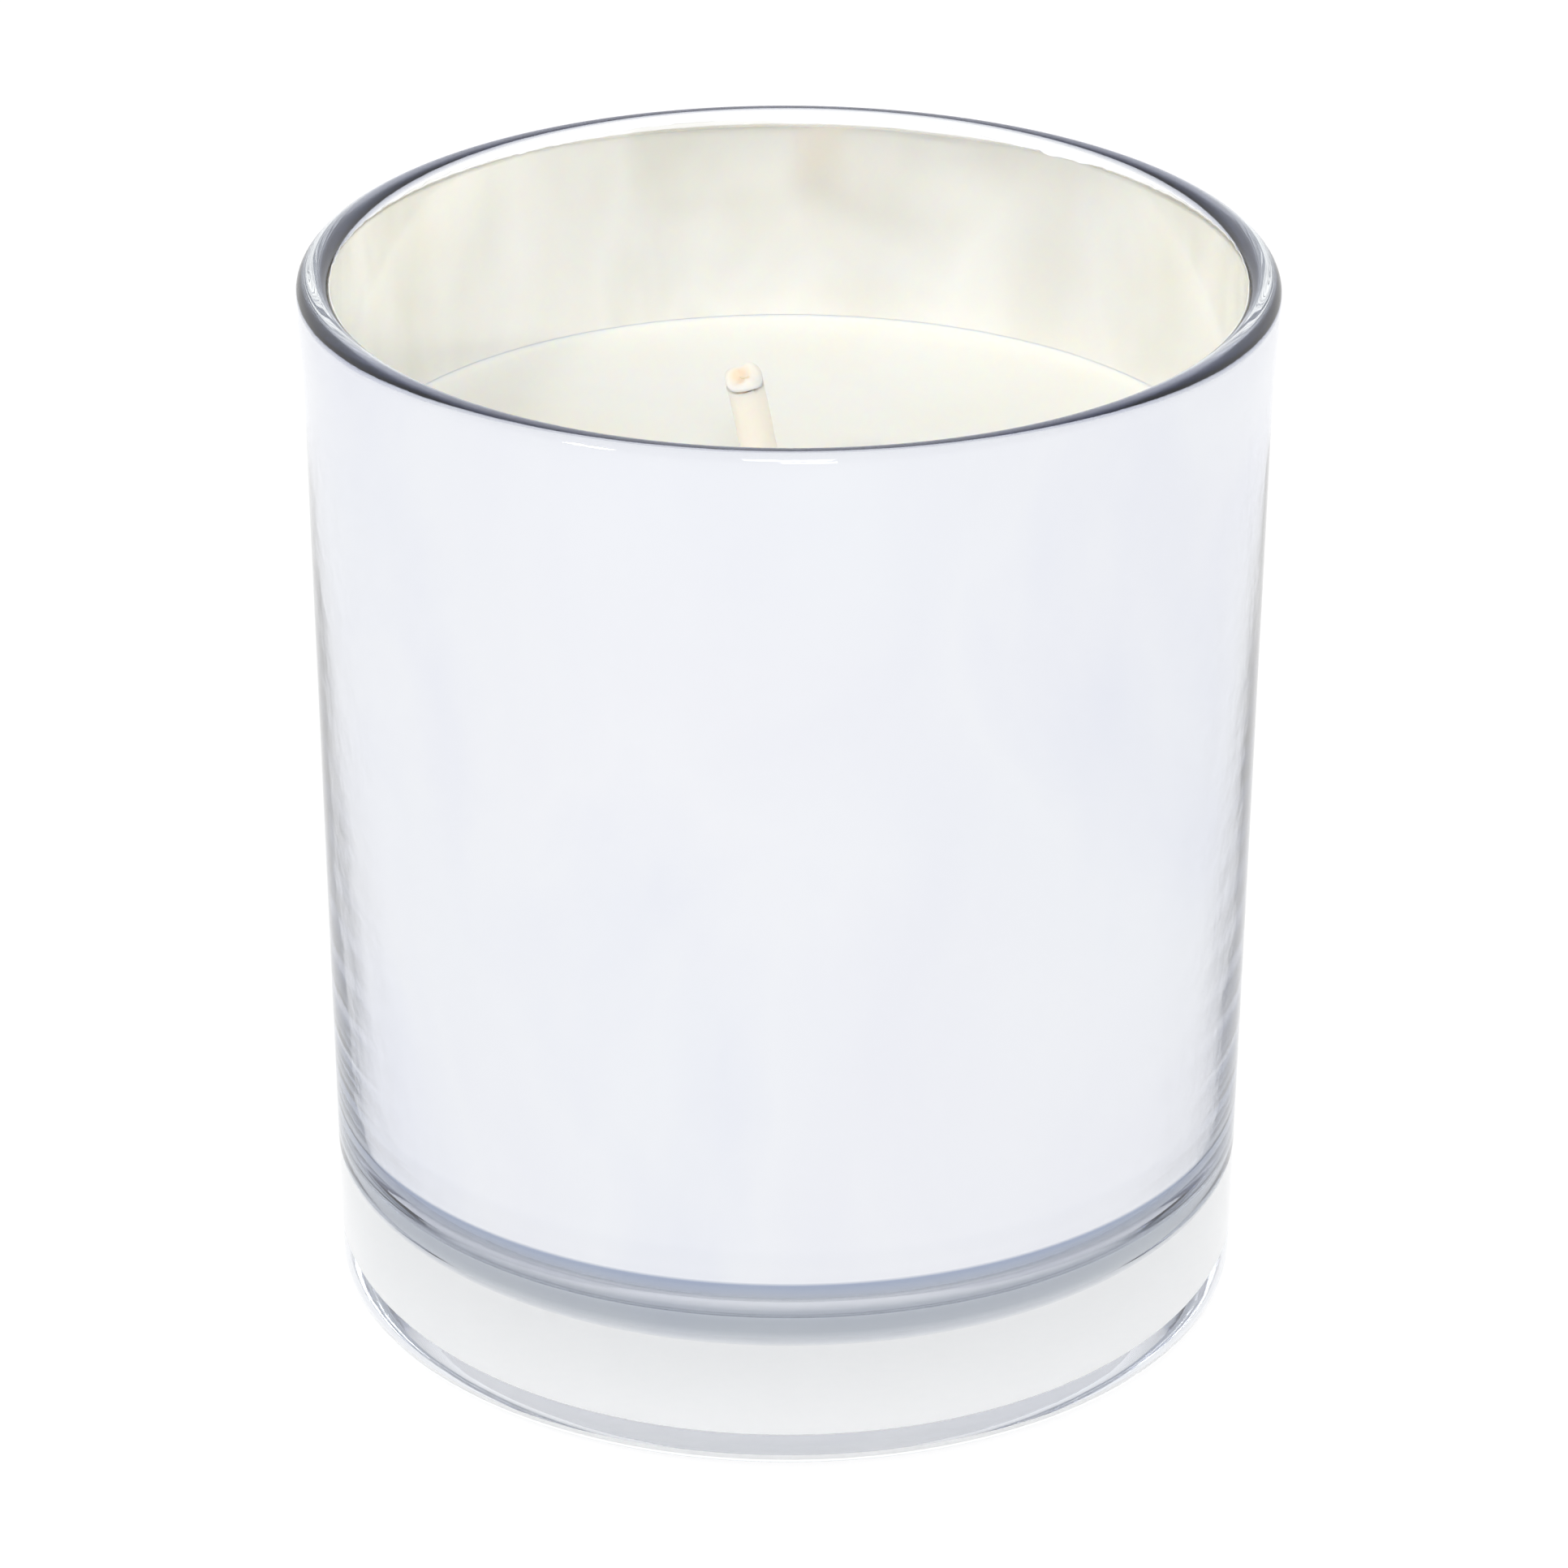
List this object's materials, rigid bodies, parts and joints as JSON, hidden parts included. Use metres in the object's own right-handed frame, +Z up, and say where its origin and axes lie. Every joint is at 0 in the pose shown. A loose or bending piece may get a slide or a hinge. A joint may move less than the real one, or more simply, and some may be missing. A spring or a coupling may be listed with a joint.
{
  "type": "silvered glass candle",
  "caption": "Wax candle poured in a clear, thick-based glass tumbler with a silvered inside wall and a short waxed wick; gives light and scent, and reflects its flame.",
  "frame": {"origin": "centre of the ring that the glass stands on, level with the surface under it", "axes": "+Z up along the tumbler's axis, +X to the right seen from the front; the wick leans towards -X"},
  "size_m": [0.0804, 0.0804, 0.0912],
  "materials": {
    "clear_glass": "clear fire-polished pressed soda-lime glass",
    "label_paper": "blank white coated paper, self-adhesive",
    "silver_film": "silver mirror film on the inside of the glass, with a ragged sprayed edge under the rim",
    "candle_wax": "cream wax, smooth and softly glossy, slightly translucent",
    "wick_core": "twisted natural core thread",
    "wick_cotton": "braided unbleached cotton",
    "primer_wax": "translucent wax coat, satin",
    "tinplate": "stamped tinplate",
    "foam_tape": "white double-sided foam tape"
  },
  "bodies": {
    "root": {"glass_tumbler": "clear_glass", "base_label": "label_paper", "silver_lining": "silver_film", "wax_fill": "candle_wax", "wick_core": "wick_core", "wick_braid": "wick_cotton", "wick_wax_coat": "primer_wax", "wick_sustainer": "tinplate", "wick_sticker": "foam_tape"}
  },
  "joints": []
}
